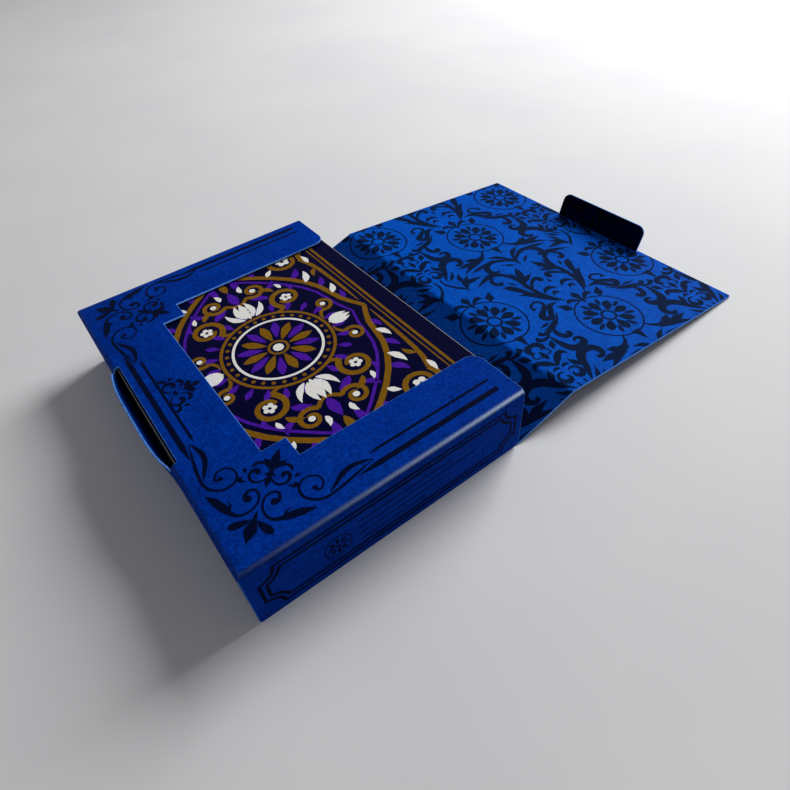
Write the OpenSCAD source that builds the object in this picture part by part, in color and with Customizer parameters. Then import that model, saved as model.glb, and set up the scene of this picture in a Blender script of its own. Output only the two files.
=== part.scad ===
// Deck of poker-size playing cards in a side-opening tuck case of printed paperboard.
// The case lies on its back with its lid folded open to the right, as a low tent whose
// free edge rests on the table. Cards lie face down and slide out of the open right side.
// Millimetres, +X towards the hinge, +Y away from the viewer, +Z up.
// The origin is the middle of the case's resting back face.

/* [Cards] */
// Width of a card
card_w = 63.5; // [62:0.1:65]
// Length of a card
card_l = 88.9; // [87:0.1:91]
// Thickness of a card
card_t = 0.29; // [0.26:0.01:0.32]
// Radius of a card's corners
card_corner_r = 3.2; // [2:0.1:4]

/* [Board] */
// Thickness of the paperboard
board = 0.42; // [0.36:0.01:0.5]
// Outer radius of a fold
fold_r = 0.7; // [0.55:0.05:0.9]

/* [Front panel] */
// Width of the three bars round the window
bar_w = 15.4; // [12:0.1:18]
// Side of the square blocks in the window's two closed corners
corner_block = 5.4; // [3:0.1:7]
// Radius at the two open ends of the bars
bar_end_r = 3.2; // [1.5:0.1:5]
// Radius of the tab slot's corners
slot_r = 1; // [0.4:0.1:1.2]
// How far the left wall stops below the front face in the tab slot
slot_drop = 0.6; // [0.55:0.05:1.5]

/* [End walls] */
// Radius of an end wall's lower corner beside the hinge
wall_corner_r = 2; // [1:0.1:4]
// Slant at both ends of a glue flap
flap_slant = 4; // [1:0.5:8]
// How far a glue flap stops below the front panel
flap_short = 1.2; // [0.4:0.1:3]

/* [Lid] */
// Width of the tab
tab_w = 31; // [24:0.5:38]
// Length of the tab
tab_l = 7.5; // [5:0.1:12]
// Radius of the tab's corners
tab_corner_r = 2.4; // [1:0.1:4]
// Radius of the cover's two free corners
cover_corner_r = 0.9; // [0.4:0.1:3]
// Angle between the open spine and the table
spine_rest = 17.4; // [12:0.1:24]
// Angle between the tab and the open cover
tab_rest = 78; // [45:1:90]

/* [Fits] */
// Air between two cards
card_gap = 0.01; // [0.005:0.005:0.02]
// Room above the deck
head_room = 0.36; // [0.2:0.02:0.8]
// Room at each end of the deck
end_play = 0.71; // [0.3:0.01:1]
// Room between the deck and the closed spine's side of the case
edge_play = 0.14; // [0.08:0.01:0.4]
// Room on each face of the tucked tab
tab_play = 0.16; // [0.1:0.01:0.3]
// Room between the slot's edge and the tucked tab
slot_play = 0.5; // [0.2:0.05:1]
// Room at each end of the slot beside the tab
slot_end_play = 2.5; // [0.5:0.1:4]
// Gap at each crease
crease_gap = 0.06; // [0.04:0.01:0.15]
// Gap between the closed cover and the front panel
lid_gap = 0.2; // [0.1:0.05:0.5]

/* [Hidden] */
$fn = 64;

RANKS = ["ace", "two", "three", "four", "five", "six", "seven",
         "eight", "nine", "ten", "jack", "queen", "king"];
SUITS = ["hearts", "clubs", "diamonds", "spades"];
// The deck from its lowest card up: four suits in order, then both jokers on top.
CARDS = concat(
    [for (s = SUITS) for (r = RANKS) str(r, "_of_", s)],
    ["joker_red", "joker_black"]
);

// Deck
pitch = card_t + card_gap;
deck_h = len(CARDS) * pitch;

// Case round the deck, with the tucked tab between the left wall and the cards
case_h = deck_h + head_room + 2 * board;
case_w = 2 * board + 2 * tab_play + card_w + edge_play;
case_l = card_l + 2 * end_play + 4 * board;
deck_x = case_w / 2 - edge_play - card_w / 2;
slot_d = 2 * board + tab_play + slot_play;
slot_l = tab_w + 2 * slot_end_play;

// Creases: the first joins the back panel to the spine, the second the spine to the
// cover, and the third the cover to the tab. Each panel has a round nose on its crease.
nose_r = 0.4 * board;
hinge_x = case_w / 2 + crease_gap + board / 2;
hinge_z = board / 2;
spine_l = case_h + lid_gap;
crest_z = hinge_z + spine_l * sin(spine_rest);
crest_x = hinge_x + spine_l * cos(spine_rest);
cover_l = hinge_x + case_w / 2;
tab_u = hinge_x + case_w / 2 - board - tab_play - board / 2;
cover_rest = -asin((crest_z - board / 2) / cover_l);

// A flat sheet with four rounded corners, about its middle.
module round_sheet(w, l, r) {
    square([w - 2 * r, l], center = true);
    square([w, l - 2 * r], center = true);
    for (sx = [-1, 1], sy = [-1, 1])
        translate([sx * (w / 2 - r), sy * (l / 2 - r)]) circle(r);
}

// A flat sheet from x = 0 to u, with its two far corners rounded.
module end_round_sheet(u, l, r) {
    translate([0, -l / 2]) square([u - r, l]);
    translate([0, r - l / 2]) square([u, l - 2 * r]);
    for (s = [-1, 1]) translate([u - r, s * (l / 2 - r)]) circle(r);
}

// What a rounded corner takes off: the corner is at 0,0 and the sheet lies towards -x, -y.
module corner_cut(r) {
    difference() {
        translate([-r, -r]) square(r + 1);
        translate([-r, -r]) circle(r);
    }
}

// Section of the case through both end walls, with its four folds.
module end_section() {
    translate([0, case_h / 2]) round_sheet(case_l, case_h, fold_r);
}

// Section of the case through the left wall, with the two folds of that wall.
module side_section() {
    difference() {
        translate([-case_w / 2, 0]) square([case_w, case_h]);
        translate([-case_w / 2, case_h]) mirror([1, 0]) corner_cut(fold_r);
        translate([-case_w / 2, 0]) rotate(180) corner_cut(fold_r);
    }
}

// Outline of the window, which is open to the right.
module window() {
    difference() {
        translate([bar_w - case_w / 2, bar_w - case_l / 2])
            square([case_w, case_l - 2 * bar_w]);
        for (s = [-1, 1])
            translate([bar_w - case_w / 2 + corner_block / 2, s * (case_l / 2 - bar_w - corner_block / 2)])
                square([corner_block + 0.02, corner_block + 0.02], center = true);
    }
    for (s = [0, 1])
        mirror([0, s]) translate([case_w / 2, bar_w - case_l / 2]) corner_cut(bar_end_r);
}

// Outline of the slot that takes the tab, open to the left.
module slot() {
    translate([-case_w / 2 - 1, 0]) end_round_sheet(1 + slot_d, slot_l, slot_r);
}

// Folded tray: back panel, left wall, front panel with its window, and both end walls.
module tray() color("royalblue") difference() {
    intersection() {
        rotate([90, 0, 90]) linear_extrude(case_w, center = true) end_section();
        rotate([90, 0, 0]) linear_extrude(case_l, center = true) side_section();
    }
    translate([board - case_w / 2, board - case_l / 2, board])
        cube([case_w, case_l - 2 * board, case_h - 2 * board]);
    translate([0, 0, case_h - 2 * board]) linear_extrude(3 * board) window();
    translate([0, 0, case_h - slot_drop]) linear_extrude(slot_drop + 1) slot();
    for (s = [-1, 1])
        translate([case_w / 2, s * (case_l / 2 - board / 2), 0]) rotate([90, 0, 0])
            linear_extrude(board, center = true) mirror([0, 1]) corner_cut(wall_corner_r);
}

// Glue flap of the back panel, standing against the inside of an end wall.
module glue_flap(side) color("navy")
    translate([0, side * (case_l - 3 * board) / 2, board]) rotate([90, 0, 0])
        linear_extrude(board, center = true) polygon([
            [board - case_w / 2, 0],
            [case_w / 2, 0],
            [case_w / 2 - flap_slant, case_h - 2 * board - flap_short],
            [board - case_w / 2 + flap_slant, case_h - 2 * board - flap_short]
        ]);
module near_glue_flap() glue_flap(-1);
module far_glue_flap() glue_flap(1);

// Frames of the three hinged panels: x runs along the panel, z to its printed inner face.
module on_spine() translate([hinge_x, 0, hinge_z]) rotate([0, -spine_rest, 0]) children();
module on_cover() translate([crest_x, 0, crest_z]) rotate([0, -cover_rest, 0]) children();
module on_tab() on_cover() translate([tab_u, 0, 0]) rotate([0, -tab_rest, 0]) children();

// Round nose of a panel on its crease.
module nose(l) rotate([90, 0, 0]) cylinder(r = nose_r, h = l, center = true);

// Spine, as wide as the case is high.
module spine() color("mediumblue") on_spine() {
    nose(case_l);
    translate([0, -case_l / 2, -board / 2])
        cube([spine_l - board / 2 - crease_gap, case_l, board]);
}

// Cover, with the recess in its free edge where the tab folds.
module cover() color("dodgerblue") on_cover() {
    nose(case_l);
    translate([0, 0, -board / 2]) linear_extrude(board) difference() {
        end_round_sheet(cover_l, case_l, cover_corner_r);
        translate([tab_u - board / 2 - crease_gap, -tab_w / 2 - crease_gap])
            square([cover_l, tab_w + 2 * crease_gap]);
    }
}

// Tab that tucks into the slot.
module tuck_tab() color("midnightblue") on_tab() {
    nose(tab_w);
    translate([0, 0, -board / 2]) linear_extrude(board) end_round_sheet(tab_l, tab_w, tab_corner_r);
}

// One card, counted from the bottom of the deck.
module card(i) color("ghostwhite")
    translate([deck_x, 0, board + card_gap + i * pitch])
        linear_extrude(card_t) round_sheet(card_w, card_l, card_corner_r);

tray();
near_glue_flap();
far_glue_flap();
spine();
cover();
tuck_tab();
for (i = [0 : len(CARDS) - 1])
    card(i);
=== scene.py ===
# A deck of playing cards in its side-opening tuck case of blue printed paperboard, lying with the lid open.
# Shapes are drawn in millimetres and turned to metres as each piece is finished, in the frame of the solids.
import math

import bmesh
import bpy
from mathutils import Matrix, Vector


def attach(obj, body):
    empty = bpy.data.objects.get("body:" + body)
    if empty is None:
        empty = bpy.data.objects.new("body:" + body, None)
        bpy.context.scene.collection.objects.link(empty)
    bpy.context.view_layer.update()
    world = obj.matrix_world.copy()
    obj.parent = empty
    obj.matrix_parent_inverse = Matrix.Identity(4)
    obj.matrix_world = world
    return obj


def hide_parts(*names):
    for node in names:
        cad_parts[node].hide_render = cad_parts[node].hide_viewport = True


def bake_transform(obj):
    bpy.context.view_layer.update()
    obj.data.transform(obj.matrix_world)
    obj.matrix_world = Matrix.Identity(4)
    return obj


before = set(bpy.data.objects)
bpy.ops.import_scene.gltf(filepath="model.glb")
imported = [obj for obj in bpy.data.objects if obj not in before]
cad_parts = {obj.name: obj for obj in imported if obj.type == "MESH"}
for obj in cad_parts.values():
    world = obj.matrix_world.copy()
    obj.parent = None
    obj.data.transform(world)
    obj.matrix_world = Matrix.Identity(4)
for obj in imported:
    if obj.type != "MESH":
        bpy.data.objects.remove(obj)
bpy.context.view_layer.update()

# Tray: one die-cut sheet of blue uncoated paperboard, creased and folded from the back panel over the left
# wall to the windowed front panel, and down from there into both end walls, which are glued to inner flaps.
# The left wall gapes a little at the slot in its top fold, where the tab has been pulled out.
CASE_W, CASE_L, CASE_H = 64.8, 92.0, 17.4
BOARD, FOLD_R, BASE_FOLD_R = 0.42, 1.45, 0.8
BAR_W, CORNER_BLOCK, BAR_END_R = 15.4, 5.4, 3.2
SLOT_X, SLOT_HALF, SLOT_R = -30.75, 17.2, 0.5
SLOT_DROP, SLOT_BULGE, SLOT_REACH = 0.6, 2.0, 18.2
BULGE_STEP_Y, BULGE_STEP_Z, BULGE_FOOT = 1.5, 1.6, 2.4
WALL_CORNER_R = 2.0
SEAM = 0.04
BACK_EDGE_X = 32.17


def faces_where(bm, test):
    """The faces whose middle and normal meet a test."""
    return [f for f in bm.faces if test(f.calc_center_median(), f.normal)]


def cut_across(bm, test, axis, *places):
    """Cuts the faces that meet a test along planes square to an axis."""
    normal = Vector([float(axis == k) for k in range(3)])
    for place in places:
        faces = faces_where(bm, test)
        edges = dict.fromkeys(e for f in faces for e in f.edges)
        verts = dict.fromkeys(v for f in faces for v in f.verts)
        bmesh.ops.bisect_plane(bm, geom=[*faces, *edges, *verts], dist=1e-4,
                               plane_co=normal * place, plane_no=normal)


def drop_faces(bm, test):
    """Takes out the faces that meet a test."""
    bmesh.ops.delete(bm, geom=faces_where(bm, test), context="FACES")


def round_corner(bm, x, y, z, radius, segments):
    """Rounds the corner of a sheet that lies at a point."""
    corner = [v for v in bm.verts if (v.co - Vector((x, y, z))).length < 0.01]
    bmesh.ops.bevel(bm, geom=corner, offset=radius, offset_type="OFFSET", affect="VERTICES",
                    segments=segments, profile=0.5, material=-1)


class Dye:
    """An output of a shader node. Sums on it add Math nodes, and make() adds any other node."""

    def __init__(self, socket):
        self.socket = socket

    def make(self, kind, settings=None, inputs=None, out=0):
        node = self.socket.id_data.nodes.new(kind)
        for name, value in (settings or {}).items():
            setattr(node, name, value)
        for name, value in (inputs or {}).items():
            self.feed(node.inputs[name], value)
        return Dye(node.outputs[out])

    def feed(self, target, value):
        if isinstance(value, Dye):
            target.id_data.links.new(value.socket, target)
        else:
            target.default_value = value

    def maths(self, operation, first, second=0.0):
        return self.make("ShaderNodeMath", {"operation": operation}, {0: first, 1: second})

    def clamped(self):
        return self.make("ShaderNodeClamp", inputs={0: self})

    def mixed(self, first, second):
        return self.make("ShaderNodeMix", {"data_type": "RGBA"}, {0: self, 6: first, 7: second}, out=2)

    def __add__(self, other):
        return self.maths("ADD", self, other)

    def __sub__(self, other):
        return self.maths("SUBTRACT", self, other)

    def __rsub__(self, other):
        return self.maths("SUBTRACT", other, self)

    def __mul__(self, other):
        return self.maths("MULTIPLY", self, other)

    def __abs__(self):
        return self.maths("ABSOLUTE", self)

    __radd__, __rmul__ = __add__, __mul__


def srgb(red, green, blue):
    """A colour given in sRGB steps of 0 to 255, as the shader's linear numbers."""
    steps = (red / 255, green / 255, blue / 255)
    linear = [c / 12.92 if c <= 0.04045 else ((c + 0.055) / 1.055) ** 2.4 for c in steps]
    return (*linear, 1.0)


def new_surface(name, roughness):
    """A material, its shader and the place on the object that its patterns read."""
    material = bpy.data.materials.new(name)
    material.use_nodes = True
    tree = material.node_tree
    shader = tree.nodes["Principled BSDF"]
    shader.inputs["Roughness"].default_value = roughness
    place = Dye(tree.nodes.new("ShaderNodeTexCoord").outputs["Object"])
    return material, shader, place


def grain_of(place, size_mm, detail=3.0, stretch=(1, 1, 1), turn=0.0):
    """Cloudy noise from 0 to 1 whose spots are about a given size, drawn out and turned where asked."""
    if turn or stretch != (1, 1, 1):
        place = place.make("ShaderNodeMapping", inputs={
            "Vector": place, "Rotation": (0, 0, math.radians(turn)), "Scale": stretch})
    return place.make("ShaderNodeTexNoise", inputs={
        "Vector": place, "Scale": 1000 / size_mm, "Detail": detail})


PAPER_GLOSS, TOOTH_DEPTH = 0.008, 0.06
# The pale blue of the rubbed folds, which also stands for a painted highlight on them.
WORN_AND_HIGHLIGHT_BLUE = srgb(198, 220, 255)


def dyed_paper(name, deep, pale, tooth=0.35, wear_and_highlight=None):
    """Uncoated dyed paper: a cloudy tone, crossing fibres, a felt tooth, and where asked
    rubbed folds that also carry a painted highlight.
    """
    material, shader, place = new_surface(name, 0.75)
    cloud = grain_of(place, 9.0)
    mottle = grain_of(place, 1.5)
    speck = grain_of(place, 0.45)
    fibre = grain_of(place, 0.6, 2.0, (1, 0.4, 1), 33) + grain_of(place, 0.6, 2.0, (0.4, 1, 1), 12)
    tone = (cloud * 0.4 + mottle * 0.45 + speck * 1.2 + fibre * 0.4 - 0.92).clamped()
    colour = tone.mixed(deep, pale)
    if wear_and_highlight:
        # The folds are lightened towards this blue: a painted highlight as much as wear.
        colour = (wear_and_highlight(place) * (speck * 0.8 + 0.6)).clamped().mixed(colour, WORN_AND_HIGHLIGHT_BLUE)
    place.feed(shader.inputs["Base Color"], colour)
    place.feed(shader.inputs["Roughness"], speck * 0.3 + 0.45)
    bump = place.make("ShaderNodeBump", inputs={
        "Strength": tooth, "Distance": TOOTH_DEPTH / 1000, "Height": speck * 0.7 + fibre * 0.5})
    place.feed(shader.inputs["Normal"], bump)
    shader.inputs["Specular IOR Level"].default_value = PAPER_GLOSS
    return material


# How thin the painted highlight and rub are on the end folds and the left fold, and the left fold's small
# share, kept faint as it lies in shade.
END_RUB_AND_HIGHLIGHT_POWER, LEFT_RUB_AND_HIGHLIGHT_POWER, LEFT_RUB_AND_HIGHLIGHT = 7.0, 4.0, 0.02


def fold_wear_and_highlight(place):
    """A thin line along the folds round the front, part rubbed wear and part painted highlight. It is
    strongest on the end folds near the hinge, on the lamp's side, and faint on the left fold, which lies in
    shade.
    """
    split = place.make("ShaderNodeSeparateXYZ", inputs={0: place}).socket.node
    x, y, z = (Dye(out) for out in split.outputs)
    high = z.maths("MAXIMUM", z - (CASE_H - FOLD_R) / 1000, 0.0)
    ends = y.maths("MAXIMUM", abs(y) - (CASE_L / 2 - FOLD_R) / 1000, 0.0)
    left = x.maths("MAXIMUM", x * -1 - (CASE_W / 2 - FOLD_R) / 1000, 0.0)
    along = (x * (1000 / CASE_W) + 0.5).clamped()
    to_one = 2 / (FOLD_R / 1000) ** 2
    rubbed_and_lit_ends = x.maths("POWER", high * ends * to_one, END_RUB_AND_HIGHLIGHT_POWER)
    rubbed_and_lit_left = x.maths("POWER", high * left * to_one, LEFT_RUB_AND_HIGHLIGHT_POWER)
    return rubbed_and_lit_ends * (along * 0.95 + 0.05) + rubbed_and_lit_left * LEFT_RUB_AND_HIGHLIGHT


case_blue = (srgb(0, 20, 92), srgb(0, 66, 182))
# The case paper's folds carry the rubbed line with its painted highlight.
case_paper = dyed_paper("case paper", *case_blue, wear_and_highlight=fold_wear_and_highlight)
inside_paper = dyed_paper("case inside paper", srgb(0, 28, 92), srgb(0, 54, 140))
# The cut edges are a paler blue board, painted lighter still as a painted highlight, so that they stay light
# where they face away from the lamp.
cut_edge = dyed_paper("cut board edge", srgb(44, 104, 200), srgb(116, 170, 238), tooth=0.6)


def new_piece(name, bm, materials):
    """Turns a shape in millimetres into an object in metres, in place, wearing its materials."""
    bmesh.ops.scale(bm, vec=(0.001, 0.001, 0.001), verts=bm.verts)
    mesh = bpy.data.meshes.new(name)
    bm.to_mesh(mesh)
    bm.free()
    for material in materials:
        mesh.materials.append(material)
    piece = bpy.data.objects.new(name, mesh)
    bpy.context.collection.objects.link(piece)
    return piece


def goes_on_at(bm, x):
    """Marks the edges at a place along x where the sheet isn't cut but goes on as the next piece."""
    for edge in bm.edges:
        if all(abs(vert.co.x - x) < 0.001 for vert in edge.verts):
            edge.seam = True


CUT_EDGE = 0.11


def board_piece(name, bm, printed, back):
    """A bare sheet, drawn as its printed face, that gets the board's thickness and soft pale cut edges."""
    for face in bm.faces:
        face.smooth = True
    is_cut = bm.edges.layers.float.new("bevel_weight_edge")
    for edge in bm.edges:
        edge[is_cut] = float(edge.is_boundary and not edge.seam)
        edge.smooth = not edge.seam
    piece = new_piece(name, bm, [printed, back, cut_edge])
    wall = piece.modifiers.new("board", "SOLIDIFY")
    wall.thickness, wall.offset = BOARD / 1000, -1
    wall.material_offset, wall.material_offset_rim = 1, 2
    rim = piece.modifiers.new("cut edge", "BEVEL")
    rim.width, rim.segments, rim.material = CUT_EDGE / 1000, 2, 2
    rim.limit_method, rim.harden_normals = "WEIGHT", True
    return piece


tray = bmesh.new()
bmesh.ops.create_cube(tray, size=1)
bmesh.ops.scale(tray, vec=(CASE_W, CASE_L, CASE_H), verts=tray.verts)
bmesh.ops.translate(tray, vec=(0, 0, CASE_H / 2), verts=tray.verts)
drop_faces(tray, lambda p, n: n.x > 0.9)
top_folds = [e for e in tray.edges if len(e.link_faces) == 2
             and min(v.co.z for v in e.verts) > CASE_H - 0.01]
bmesh.ops.bevel(tray, geom=top_folds, offset=FOLD_R, offset_type="OFFSET", affect="EDGES", segments=6,
                profile=0.5, material=-1)
base_fold = [e for e in tray.edges if len(e.link_faces) == 2
             and max(v.co.x for v in e.verts) < 0 and max(v.co.z for v in e.verts) < 0.01]
bmesh.ops.bevel(tray, geom=base_fold, offset=BASE_FOLD_R, offset_type="OFFSET", affect="EDGES", segments=5,
                profile=0.5, material=-1)


def on_front(p, n):
    return n.z > 0.99


def on_top_fold(p, n):
    return n.x < -0.1 and p.z > CASE_H - FOLD_R


def below_the_fold(p, n):
    return n.z < -0.1 or n.x < -0.1 and p.z < CASE_H - FOLD_R


inner_l = CASE_L / 2 - BOARD - SEAM
cut_across(tray, below_the_fold, 1, -inner_l, inner_l)
drop_faces(tray, lambda p, n: below_the_fold(p, n) and abs(p.y) > inner_l)
cut_across(tray, lambda p, n: n.z < -0.9, 0, BACK_EDGE_X)
drop_faces(tray, lambda p, n: n.z < -0.9 and p.x > BACK_EDGE_X)
window_x, window_y = BAR_W - CASE_W / 2, CASE_L / 2 - BAR_W
block_x, block_y = window_x + CORNER_BLOCK, window_y - CORNER_BLOCK
cut_across(tray, on_front, 0, SLOT_X, window_x, block_x)
cut_across(tray, on_front, 1, -window_y, -block_y, -SLOT_HALF, SLOT_HALF, block_y, window_y)
cut_across(tray, on_top_fold, 1, -SLOT_HALF, SLOT_HALF)
drop_faces(tray, lambda p, n: on_front(p, n) and p.x > window_x and abs(p.y) < window_y
           and (p.x > block_x or abs(p.y) < block_y))
drop_faces(tray, lambda p, n: abs(p.y) < SLOT_HALF
           and (on_front(p, n) and p.x < SLOT_X or on_top_fold(p, n)))
bmesh.ops.dissolve_faces(tray, faces=faces_where(tray, on_front))
for end in (-1, 1):
    round_corner(tray, CASE_W / 2, end * window_y, CASE_H, BAR_END_R, 10)
    round_corner(tray, SLOT_X, end * SLOT_HALF, CASE_H, SLOT_R, 4)
    round_corner(tray, CASE_W / 2, end * CASE_L / 2, 0, WALL_CORNER_R, 8)


def on_left_wall(p, n):
    return n.x < -0.99


cut_across(tray, on_left_wall, 1, *[step * BULGE_STEP_Y for step in range(-14, 15)])
cut_across(tray, on_left_wall, 2, *[step * BULGE_STEP_Z + BULGE_FOOT for step in range(9)])
for vert in tray.verts:
    on_wall = vert.co.x < 0.001 - CASE_W / 2
    if on_wall and vert.co.z > CASE_H - FOLD_R - 0.01 and abs(vert.co.y) < SLOT_HALF - 0.1:
        vert.co.z = CASE_H - SLOT_DROP
    if on_wall and abs(vert.co.y) < SLOT_REACH:
        across = 1 - (vert.co.y / SLOT_REACH) ** 4
        vert.co.x -= SLOT_BULGE * across * (vert.co.z / CASE_H) ** 3
goes_on_at(tray, BACK_EDGE_X)
tray_piece = board_piece("tray_sheet", tray, case_paper, inside_paper)
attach(tray_piece, "case")
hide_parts("tray")

# Glue flaps: the back panel's two end flaps, of the same board, folded up and glued inside the end walls.
# Only their slanted ends and upper edges show, between an end wall and the cards.
for flap in ("near_glue_flap", "far_glue_flap"):
    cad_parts[flap].material_slots[0].material = inside_paper

# Ornament on the case: near-black blue ink, printed on the flat sheet before it is folded. Scrolled corner
# flourishes and a fleuron stand beside thick and thin rules, and each end wall has a double ruled panel.
PRINT_LIFT, LAYER = 0.012, 0.0006
PRINT_SHIFT, ORNAMENT_BOLD, FLEURON_X = 0.6, 1.25, -26.2
FLOURISH_STROKES = [
    [(21.6, 0.2, 0.25), (22.5, 1.0, 0.6), (23.0, 1.6, 0.42), (23.6, 2.2, 0.03)],
    [(21.5, 3.9, 0.2), (22.3, 3.3, 0.28), (22.6, 2.3, 0.24), (22.0, 1.2, 0.12), (21.1, 0.5, 0.06)],
    [(19.75, 0.25, 0.06), (18.6, 1.0, 0.16), (18.1, 2.2, 0.2), (18.7, 3.5, 0.22), (19.8, 3.85, 0.26),
     (20.7, 3.2, 0.36), (20.5, 2.4, 0.34), (20.0, 2.3, 0.15)],
    [(20.0, 4.6, 0.05), (20.5, 5.05, 0.36), (20.95, 5.5, 0.05)],
    [(18.2, 3.9, 0.06), (18.0, 4.7, 0.2), (18.2, 5.5, 0.3), (18.7, 5.3, 0.2), (18.75, 4.95, 0.1)],
    [(18.3, 8.9, 0.3), (17.75, 9.7, 0.2), (18.7, 10.25, 0.16), (20.2, 9.7, 0.15), (20.65, 8.2, 0.15),
     (19.9, 6.6, 0.16), (18.4, 6.0, 0.18), (16.5, 6.8, 0.2), (15.6, 8.9, 0.2), (16.2, 11.3, 0.2),
     (18.0, 13.1, 0.24), (20.1, 14.7, 0.26), (22.9, 16.6, 0.18), (25.4, 18.3, 0.03)],
    [(17.3, 11.9, 0.05), (19.4, 12.6, 0.3), (21.6, 13.3, 0.42), (23.4, 14.6, 0.44), (24.7, 16.6, 0.26),
     (25.4, 18.3, 0.02)],
    [(14.6, 2.2, 0.5), (14.7, 3.0, 0.4), (15.7, 3.1, 0.24), (16.5, 2.2, 0.2), (15.9, 1.0, 0.18),
     (14.2, 0.45, 0.18), (12.2, 1.2, 0.18), (11.0, 2.9, 0.2), (11.2, 4.5, 0.32), (12.0, 6.0, 0.62),
     (13.1, 8.1, 0.6), (13.7, 9.4, 0.3), (14.1, 10.4, 0.03)],
    [(11.7, 5.0, 0.2), (12.8, 5.2, 0.16), (13.7, 5.9, 0.03)],
    [(10.4, 0.6, 0.04), (9.7, 1.5, 0.42), (9.0, 2.8, 0.62), (8.5, 3.7, 0.5), (8.3, 4.1, 0.1)],
]
FLOURISH_MIDDLE = [
    [(21.3, 0, 0.1), (22.4, 0, 0.4), (23.7, 0, 0.75), (25.0, 0, 0.4), (26.1, 0, 0.02)],
    [(20.06, -1.0, 0.22), (20.06, 1.0, 0.22)],
    [(19.3, 0, 0.15), (20.3, 0, 0.45), (21.7, 0, 0.2)],
    [(19.6, 0, 0.1), (18.9, 0, 0.55), (18.2, 0, 0.42), (17.2, 0, 0.03)],
    [(12.3, 0, 0.04), (10.4, 0, 0.4), (8.3, 0, 1.0), (7.2, 0, 0.62), (5.8, 0, 0.03)],
]
FLOURISH_DOTS = [(18.15, 8.85, 0.42), (14.45, 2.5, 0.72), (20.15, 2.5, 0.4), (18.5, 5.2, 0.34)]
FLEURON_STROKES = [
    [(1.7, 0.45, 0.1), (0.7, 1.6, 0.18), (0.4, 2.5, 0.2), (0.95, 3.4, 0.24), (2.1, 3.65, 0.32),
     (2.9, 3.0, 0.42), (2.85, 2.3, 0.34), (2.1, 2.05, 0.12)],
    [(1.1, 3.5, 0.12), (1.6, 4.4, 0.24), (1.25, 5.2, 0.34), (0.55, 5.4, 0.32), (0.1, 4.9, 0.15)],
    [(2.2, 4.5, 0.05), (2.9, 4.8, 0.34), (3.5, 5.3, 0.1)],
    [(3.1, 0.45, 0.06), (4.3, 1.5, 0.15), (4.75, 2.5, 0.36), (4.2, 3.35, 0.34), (3.6, 3.55, 0.06)],
    [(4.6, 0.1, 0.2), (5.4, 0.9, 0.6), (5.75, 1.6, 0.5), (5.6, 2.15, 0.04)],
]
FLEURON_MIDDLE = [
    [(2.35, -0.8, 0.28), (2.35, 0.8, 0.28)],
    [(3.8, 0, 0.04), (4.7, 0, 0.4), (5.5, 0, 0.62), (6.1, 0, 0.3), (6.9, 0, 0.62), (7.4, 0, 0.4),
     (8.2, 0, 0.02)],
]
RULES = [
    [(-28.6, -19.6, 0.02), (-28.6, -15.5, 0.6), (-28.6, 15.5, 0.6), (-28.6, 19.6, 0.02)],
    [(-26.2, -15.3, 0.02), (-26.2, -13.6, 0.3), (-26.2, 13.6, 0.3), (-26.2, 15.3, 0.02)],
    [(-5.8, 41.8, 0.02), (-1.6, 41.8, 0.6), (28.7, 41.8, 0.6)],
    [(-1.5, 39.4, 0.02), (0.6, 39.4, 0.3), (28.7, 39.4, 0.3)],
    [(-5.8, -42.4, 0.02), (-1.6, -42.4, 0.6), (28.7, -42.4, 0.6)],
    [(-1.5, -39.4, 0.02), (0.6, -39.4, 0.3), (28.7, -39.4, 0.3)],
]


def flattened(curve_object, *others):
    """The flat shape of a curve object, which is then removed together with those that it needs."""
    everything = (curve_object, *others)
    for thing in everything:
        bpy.context.collection.objects.link(thing)
    ready = curve_object.evaluated_get(bpy.context.evaluated_depsgraph_get())
    mesh = bpy.data.meshes.new_from_object(ready)
    art = bmesh.new()
    art.from_mesh(mesh)
    for thing in everything:
        bpy.data.curves.remove(thing.data)
    bpy.data.meshes.remove(mesh)
    return art


def drawn(strokes, dots=(), fineness=6, straight=False, levels=60, dot_sides=16, bold=1.0):
    """Flat artwork: strokes are runs of (x, y, half width), and dots are discs of (x, y, radius).
    Each mark lies a hair above the one before, so that marks that cross never share a plane."""
    nib = bpy.data.curves.new("nib", "CURVE")
    nib.splines.new("POLY").points.add(1)
    for point, x in zip(nib.splines[0].points, (-1, 1)):
        point.co = (x, 0, 0, 1)
    nib_object = bpy.data.objects.new("nib", nib)
    line = bpy.data.curves.new("line", "CURVE")
    line.dimensions, line.twist_mode, line.resolution_u = "3D", "Z_UP", fineness
    line.bevel_mode, line.bevel_object = "OBJECT", nib_object
    for count, stroke in enumerate(strokes):
        spline = line.splines.new("POLY" if straight else "BEZIER")
        points = spline.points if straight else spline.bezier_points
        points.add(len(stroke) - 1)
        for step, (point, (x, y, half)) in enumerate(zip(points, stroke)):
            z = (count % levels + step / 40) * LAYER
            point.co = (x, y, z, 1) if straight else (x, y, z)
            point.radius = half * bold
            if not straight:
                point.handle_left_type = point.handle_right_type = "AUTO"
    art = flattened(bpy.data.objects.new("line", line), nib_object)
    for count, (x, y, radius) in enumerate(dots):
        height = (min(len(strokes), levels) + count % 2) * LAYER
        bmesh.ops.create_circle(art, cap_ends=True, segments=dot_sides, radius=radius,
                                matrix=Matrix.Translation((x, y, height)))
    return art


def add_copy(bm, art, place=Matrix()):
    """Adds a moved, turned or mirrored copy of flat artwork to a shape."""
    spare = bpy.data.meshes.new("copy")
    art.to_mesh(spare)
    spare.transform(place)
    bm.from_mesh(spare)
    bpy.data.meshes.remove(spare)


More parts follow.
